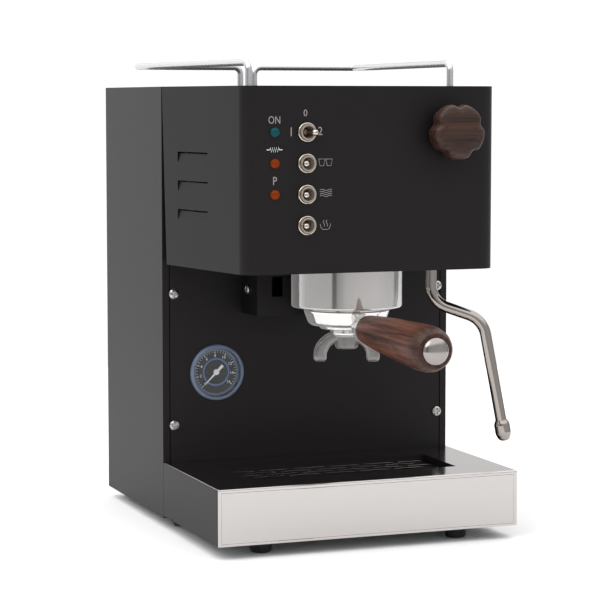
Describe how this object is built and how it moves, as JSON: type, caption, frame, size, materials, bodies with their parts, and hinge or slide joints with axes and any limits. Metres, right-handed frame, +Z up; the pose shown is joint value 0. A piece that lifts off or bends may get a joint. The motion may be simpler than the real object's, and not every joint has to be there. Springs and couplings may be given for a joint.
{
  "type": "espresso machine",
  "caption": "Compact black domestic espresso machine with a cantilevered head, wooden knob and filter-holder handle, steam wand, boiler gauge, cup rails and pull-out polished drip tray.",
  "frame": {"origin": "on the surface that the feet stand on, under the middle of the bounding box", "axes": "+Z up; the front with the head and handle faces -Y; +X is on the user's right"},
  "size_m": [0.248, 0.419, 0.3737],
  "materials": {
    "black_powder_coat": "fine-textured satin black powder coat on folded steel",
    "galvanised_steel": "zinc-plated folded steel",
    "foot_rubber": "matt black rubber",
    "stainless_fastener": "stainless screws and nuts",
    "polished_stainless": "mirror-polished stainless steel",
    "chromed_brass": "chrome plating on cast brass",
    "brass": "machined brass",
    "boiler_steel": "drawn stainless steel, unpolished",
    "copper_pipe": "drawn copper pipe",
    "silicone": "translucent silicone hose",
    "pump_black": "moulded black plastic",
    "tank_plastic": "frosted clear plastic",
    "gauge_black": "black gauge case and dial",
    "gauge_glass": "clear flat lens",
    "needle_white": "white-painted pressed needle",
    "chrome_lever": "chromed switch lever and ring nut",
    "green_lamp": "green indicator lens",
    "amber_lamp": "amber indicator lens",
    "walnut": "oiled walnut"
  },
  "bodies": {
    "base": {"base_plate": "galvanised_steel", "rubber_feet": "foot_rubber", "side_panel_left": "black_powder_coat", "side_panel_right": "black_powder_coat", "back_panel": "black_powder_coat", "top_panel": "black_powder_coat", "front_panel": "black_powder_coat", "head_cover": "black_powder_coat", "head_floor": "black_powder_coat", "casing_fasteners": "stainless_fastener", "group_bracket": "black_powder_coat", "group_bell": "polished_stainless", "group_head": "brass", "group_gasket": "foot_rubber", "shower_screen": "polished_stainless", "boiler": "boiler_steel", "boiler_cover": "boiler_steel", "boiler_bolts": "stainless_fastener", "heating_element": "polished_stainless", "thermostat": "brass", "steam_valve": "brass", "steam_pipes": "copper_pipe", "wand_collar": "brass", "vibration_pump": "pump_black", "pump_mounts": "foot_rubber", "three_way_valve": "pump_black", "water_pipes": "copper_pipe", "suction_hose": "silicone", "tank_shelf": "galvanised_steel", "tank_seat": "foot_rubber", "gauge_case": "gauge_black", "gauge_bezel": "gauge_black", "gauge_dial": "gauge_black", "gauge_lens": "gauge_glass", "switch_bodies": "pump_black", "switch_nuts": "chrome_lever", "power_lamp": "green_lamp", "heating_lamps": "amber_lamp", "cup_rail_left": "polished_stainless", "cup_rail_right": "polished_stainless", "power_inlet": "pump_black"},
    "power_lever": {"power_lever": "chrome_lever"},
    "brew_lever": {"brew_lever": "chrome_lever"},
    "hot_water_lever": {"hot_water_lever": "chrome_lever"},
    "steam_lever": {"steam_lever": "chrome_lever"},
    "steam_knob": {"steam_knob": "walnut", "steam_spindle": "polished_stainless"},
    "steam_wand": {"steam_wand": "polished_stainless", "wand_tip": "polished_stainless"},
    "gauge_needle": {"gauge_needle": "needle_white"},
    "portafilter": {"portafilter_body": "chromed_brass", "filter_basket": "polished_stainless", "spout": "chromed_brass", "portafilter_handle": "walnut", "handle_cap": "polished_stainless"},
    "drip_tray": {"drip_tray_cover": "polished_stainless", "drip_basin": "polished_stainless"},
    "drip_grate": {"drip_grate": "polished_stainless"},
    "water_tank": {"water_tank": "tank_plastic"},
    "tank_lid": {"tank_lid": "black_powder_coat"}
  },
  "joints": [
    {"name": "power_switch", "type": "hinge", "parent": "base", "child": "power_lever", "pos_m": [-0.0538, -0.0866, 0.3188], "axis": [0, 0, 1], "range_deg": [-32.8, 0]},
    {"name": "brew_switch", "type": "hinge", "parent": "base", "child": "brew_lever", "pos_m": [-0.0538, -0.0866, 0.2957], "axis": [0, 0, 1], "range_deg": [0, 32.8]},
    {"name": "hot_water_switch", "type": "hinge", "parent": "base", "child": "hot_water_lever", "pos_m": [-0.0538, -0.0866, 0.2726], "axis": [0, 0, 1], "range_deg": [0, 32.8]},
    {"name": "steam_switch", "type": "hinge", "parent": "base", "child": "steam_lever", "pos_m": [-0.0538, -0.0866, 0.2495], "axis": [0, 0, 1], "range_deg": [0, 32.8]},
    {"name": "steam_valve_turn", "type": "hinge", "parent": "base", "child": "steam_knob", "pos_m": [0.0628, -0.0896, 0.3187], "axis": [0, 1, 0], "range_deg": [0, 450]},
    {"name": "wand_swivel", "type": "hinge", "parent": "base", "child": "steam_wand", "pos_m": [0.0628, -0.0563, 0.2], "axis": [0, 0, 1], "range_deg": [-85, 45]},
    {"name": "gauge_sweep", "type": "hinge", "parent": "base", "child": "gauge_needle", "pos_m": [-0.0785, 0.0474, 0.1244], "axis": [0, 1, 0], "range_deg": [0, 263]},
    {"name": "portafilter_lock", "type": "hinge", "parent": "base", "child": "portafilter", "pos_m": [0, -0.0366, 0.18], "axis": [0, 0, 1], "range_deg": [-50, 0]},
    {"name": "tray_slide", "type": "slide", "parent": "base", "child": "drip_tray", "axis": [0, -1, 0], "range_m": [0, 0.15]},
    {"name": "grate_lift", "type": "slide", "parent": "drip_tray", "child": "drip_grate", "axis": [0, 0, 1], "range_m": [0, 0.03]},
    {"name": "tank_lift", "type": "slide", "parent": "base", "child": "water_tank", "axis": [0, 0, 1], "range_m": [0, 0.23]},
    {"name": "lid_lift", "type": "slide", "parent": "water_tank", "child": "tank_lid", "axis": [0, 0, 1], "range_m": [0, 0.06]}
  ]
}
